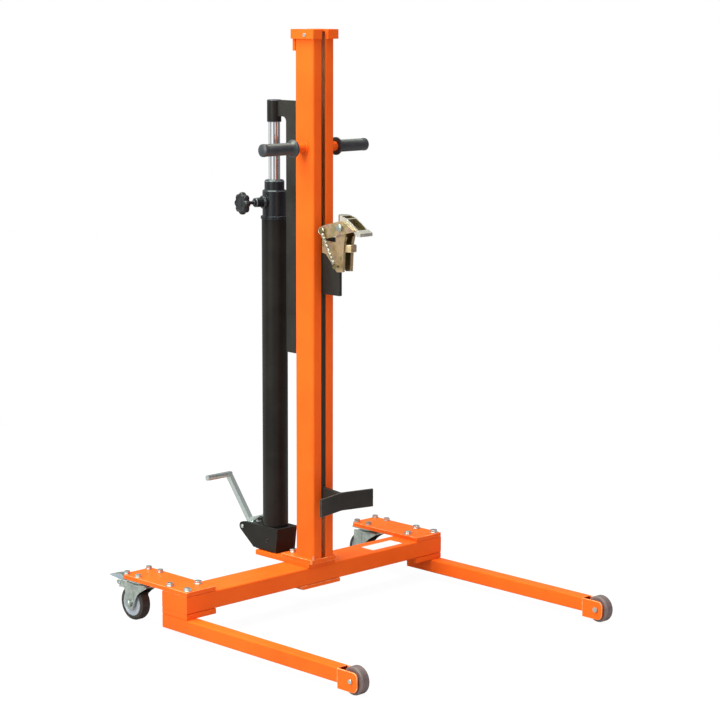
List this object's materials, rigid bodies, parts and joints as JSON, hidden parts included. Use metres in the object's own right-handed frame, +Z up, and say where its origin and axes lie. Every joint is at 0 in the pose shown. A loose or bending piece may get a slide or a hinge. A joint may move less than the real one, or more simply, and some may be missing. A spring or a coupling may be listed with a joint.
{
  "type": "drum lifter",
  "caption": "Hydraulic drum lifter: slotted mast on a straddling wheeled base, foot pump and ram, and a beak clamp with a drum rest on a lifting carriage.",
  "frame": {"origin": "on the floor, at the middle of the part's plan outline, midway between the two legs", "axes": "+Z up; the legs, the clamp and the drum rest point along -Y; the pump, the pedal and the swivel casters are at +Y; +X is the right side for someone who stands in front and looks along +Y"},
  "size_m": [1.0096, 1.0836, 1.6485],
  "materials": {
    "orange_paint": "bright orange gloss paint on welded steel",
    "black_paint": "black satin paint on steel and castings",
    "zinc_plate": "bright zinc-plated steel",
    "yellow_zinc": "yellow passivated zinc with faint green and pink",
    "bright_zinc": "pale zinc-plated forging",
    "chrome": "hard-chromed ground rod",
    "grip_rubber": "moulded black grip, slightly glossy",
    "tyre_rubber": "dark wheel tread, matte",
    "core_plastic": "pale grey-blue wheel core",
    "roller_nylon": "dark grey nylon roller",
    "seal_rubber": "soft black rod wiper"
  },
  "bodies": {
    "frame": {"mast_channel_left": "orange_paint", "mast_channel_right": "orange_paint", "mast_cap": "orange_paint", "mast_foot_plate": "orange_paint", "base_plate": "orange_paint", "cross_beam": "orange_paint", "under_plate": "orange_paint", "end_plate_left": "orange_paint", "end_plate_right": "orange_paint", "joint_plate_left": "orange_paint", "joint_plate_right": "orange_paint", "leg_left": "orange_paint", "leg_right": "orange_paint", "fork_plate_left_outer": "orange_paint", "fork_plate_left_inner": "orange_paint", "fork_plate_right_outer": "orange_paint", "fork_plate_right_inner": "orange_paint", "front_axle_left": "zinc_plate", "front_axle_right": "zinc_plate", "caster_plate_left": "zinc_plate", "caster_plate_right": "zinc_plate", "handle_grip_left": "grip_rubber", "handle_grip_right": "grip_rubber", "pump_block": "black_paint", "pedal_pin": "zinc_plate", "cylinder_tube": "black_paint", "cylinder_head": "black_paint", "gland": "black_paint", "rod_wiper": "seal_rubber", "valve_fitting": "black_paint"},
    "carriage": {"carriage_plate": "black_paint", "ram_rod": "chrome", "ram_cap": "black_paint", "drum_rest": "black_paint", "clamp_body": "yellow_zinc", "lower_jaw": "yellow_zinc", "clamp_spring": "zinc_plate"},
    "clamp_lever": {"clamp_lever": "yellow_zinc", "beak": "bright_zinc"},
    "foot_pedal": {"foot_pedal": "zinc_plate"},
    "pump_plunger": {"pump_plunger": "black_paint"},
    "release_knob": {"release_knob": "black_paint"},
    "guide_roller_lower_left": {"guide_roller_lower_left": "zinc_plate"},
    "guide_roller_lower_right": {"guide_roller_lower_right": "zinc_plate"},
    "guide_roller_upper_left": {"guide_roller_upper_left": "zinc_plate"},
    "guide_roller_upper_right": {"guide_roller_upper_right": "zinc_plate"},
    "front_roller_left": {"front_roller_left": "roller_nylon"},
    "caster_fork_left": {"caster_fork_left": "zinc_plate", "caster_axle_left": "zinc_plate"},
    "caster_wheel_left": {"caster_core_left": "core_plastic", "caster_tyre_left": "tyre_rubber"},
    "brake_pedal_left": {"brake_pedal_left": "zinc_plate"},
    "front_roller_right": {"front_roller_right": "roller_nylon"},
    "caster_fork_right": {"caster_fork_right": "zinc_plate", "caster_axle_right": "zinc_plate"},
    "caster_wheel_right": {"caster_core_right": "core_plastic", "caster_tyre_right": "tyre_rubber"}
  },
  "joints": [
    {"name": "lift", "type": "slide", "parent": "frame", "child": "carriage", "axis": [0, 0, 1], "range_m": [-0.145, 0.54]},
    {"name": "clamp_lever_swing", "type": "hinge", "parent": "carriage", "child": "clamp_lever", "pos_m": [0, 0.03025, 1.1095], "axis": [1, 0, 0], "range_deg": [0, 25], "stiffness_Nm_per_rad": 4, "springref_deg": -17.19, "deforming": ["clamp_spring"]},
    {"name": "pedal_swing", "type": "hinge", "parent": "frame", "child": "foot_pedal", "pos_m": [0, 0.43025, 0.199], "axis": [1, 0, 0], "range_deg": [-30, 0]},
    {"name": "plunger_stroke", "type": "slide", "parent": "frame", "child": "pump_plunger", "axis": [0, 0, 1], "range_m": [0, 0.0246]},
    {"name": "release_knob_turn", "type": "hinge", "parent": "frame", "child": "release_knob", "pos_m": [-0.10744, 0.34235, 1.1605], "axis": [-0.9903, 0.1392, 0], "range_deg": [0, 180]},
    {"name": "guide_roller_lower_left_spin", "type": "hinge", "parent": "carriage", "child": "guide_roller_lower_left", "pos_m": [-0.019, 0.16025, 0.778], "axis": [1, 0, 0], "continuous": true},
    {"name": "guide_roller_lower_right_spin", "type": "hinge", "parent": "carriage", "child": "guide_roller_lower_right", "pos_m": [0.019, 0.16025, 0.778], "axis": [1, 0, 0], "continuous": true},
    {"name": "guide_roller_upper_left_spin", "type": "hinge", "parent": "carriage", "child": "guide_roller_upper_left", "pos_m": [-0.019, 0.16025, 1.052], "axis": [1, 0, 0], "continuous": true},
    {"name": "guide_roller_upper_right_spin", "type": "hinge", "parent": "carriage", "child": "guide_roller_upper_right", "pos_m": [0.019, 0.16025, 1.052], "axis": [1, 0, 0], "continuous": true},
    {"name": "front_roller_left_spin", "type": "hinge", "parent": "frame", "child": "front_roller_left", "pos_m": [-0.48, -0.50425, 0.0375], "axis": [1, 0, 0], "continuous": true},
    {"name": "caster_left_swivel", "type": "hinge", "parent": "frame", "child": "caster_fork_left", "pos_m": [-0.45, 0.38225, 0.11], "axis": [0, 0, 1], "continuous": true},
    {"name": "caster_left_wheel_spin", "type": "hinge", "parent": "caster_fork_left", "child": "caster_wheel_left", "pos_m": [-0.45, 0.41925, 0.05], "axis": [1, 0, 0], "continuous": true},
    {"name": "brake_pedal_left_swing", "type": "hinge", "parent": "caster_fork_left", "child": "brake_pedal_left", "pos_m": [-0.45, 0.46325, 0.1015], "axis": [1, 0, 0], "range_deg": [-15, 0]},
    {"name": "front_roller_right_spin", "type": "hinge", "parent": "frame", "child": "front_roller_right", "pos_m": [0.48, -0.50425, 0.0375], "axis": [1, 0, 0], "continuous": true},
    {"name": "caster_right_swivel", "type": "hinge", "parent": "frame", "child": "caster_fork_right", "pos_m": [0.45, 0.38225, 0.11], "axis": [0, 0, 1], "continuous": true},
    {"name": "caster_right_wheel_spin", "type": "hinge", "parent": "caster_fork_right", "child": "caster_wheel_right", "pos_m": [0.45, 0.41925, 0.05], "axis": [1, 0, 0], "continuous": true}
  ],
  "couplings": [
    {"joint": "plunger_stroke", "follows": "pedal_swing", "m_per_rad": -0.0467},
    {"joint": "guide_roller_lower_left_spin", "follows": "lift", "rad_per_m": -31.746},
    {"joint": "guide_roller_lower_right_spin", "follows": "lift", "rad_per_m": -31.746},
    {"joint": "guide_roller_upper_left_spin", "follows": "lift", "rad_per_m": 31.746},
    {"joint": "guide_roller_upper_right_spin", "follows": "lift", "rad_per_m": 31.746}
  ]
}
